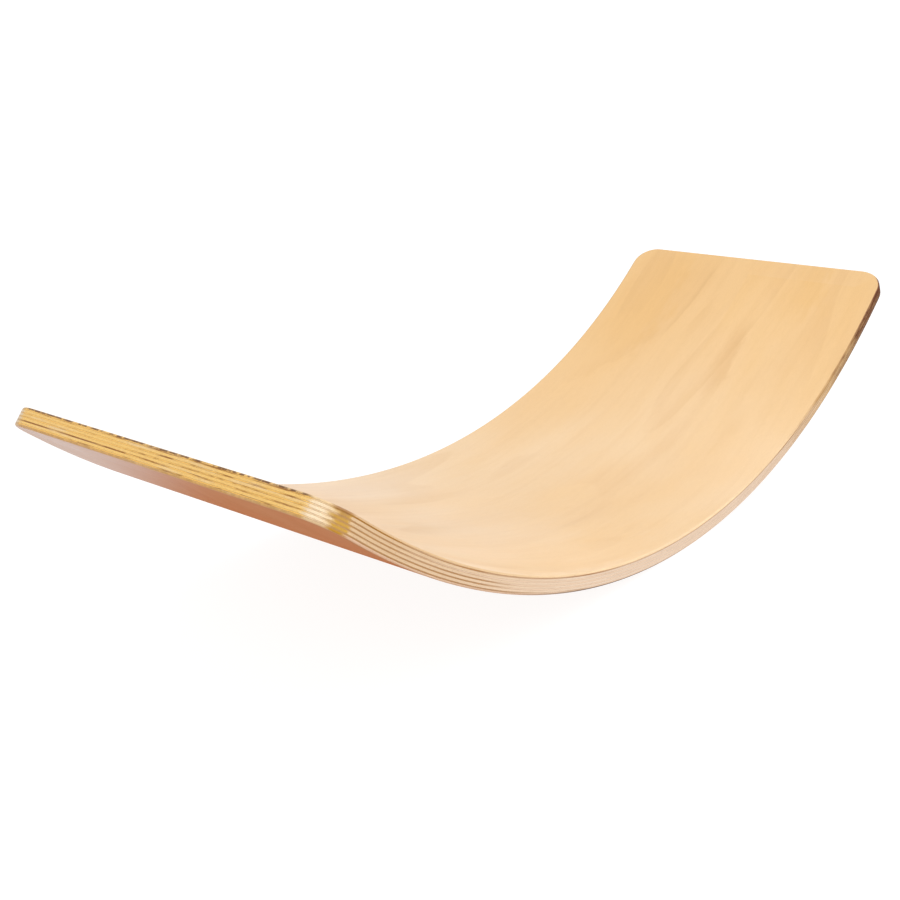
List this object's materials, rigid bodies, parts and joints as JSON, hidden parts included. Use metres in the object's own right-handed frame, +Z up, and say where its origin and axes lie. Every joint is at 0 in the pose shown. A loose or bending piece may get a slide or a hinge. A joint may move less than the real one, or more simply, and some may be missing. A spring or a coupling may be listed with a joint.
{
  "type": "balance board",
  "caption": "Curved balance board of bent plywood: a wide rocker with rounded corners and eased edges that a child sits, stands or rocks on, or turns over as a bridge.",
  "frame": {"origin": "on the floor, under the middle of the rocker's convex underside", "axes": "+X along the board, +Y across it, +Z up out of the hollow face"},
  "size_m": [0.8908, 0.3, 0.1719],
  "materials": {
    "face_veneer": "satin lacquer",
    "core_veneer": "sanded edge, satin lacquer",
    "crossband_veneer": "sanded edge, satin lacquer",
    "adhesive_film": "cured resin"
  },
  "bodies": {
    "root": {"top_face_veneer": "face_veneer", "bottom_face_veneer": "face_veneer", "crossband_veneer_1": "crossband_veneer", "crossband_veneer_2": "crossband_veneer", "crossband_veneer_3": "crossband_veneer", "crossband_veneer_4": "crossband_veneer", "crossband_veneer_5": "crossband_veneer", "core_veneer_1": "core_veneer", "core_veneer_2": "core_veneer", "core_veneer_3": "core_veneer", "core_veneer_4": "core_veneer", "adhesive_film_1": "adhesive_film", "adhesive_film_2": "adhesive_film", "adhesive_film_3": "adhesive_film", "adhesive_film_4": "adhesive_film", "adhesive_film_5": "adhesive_film", "adhesive_film_6": "adhesive_film", "adhesive_film_7": "adhesive_film", "adhesive_film_8": "adhesive_film", "adhesive_film_9": "adhesive_film", "adhesive_film_10": "adhesive_film"}
  },
  "joints": []
}
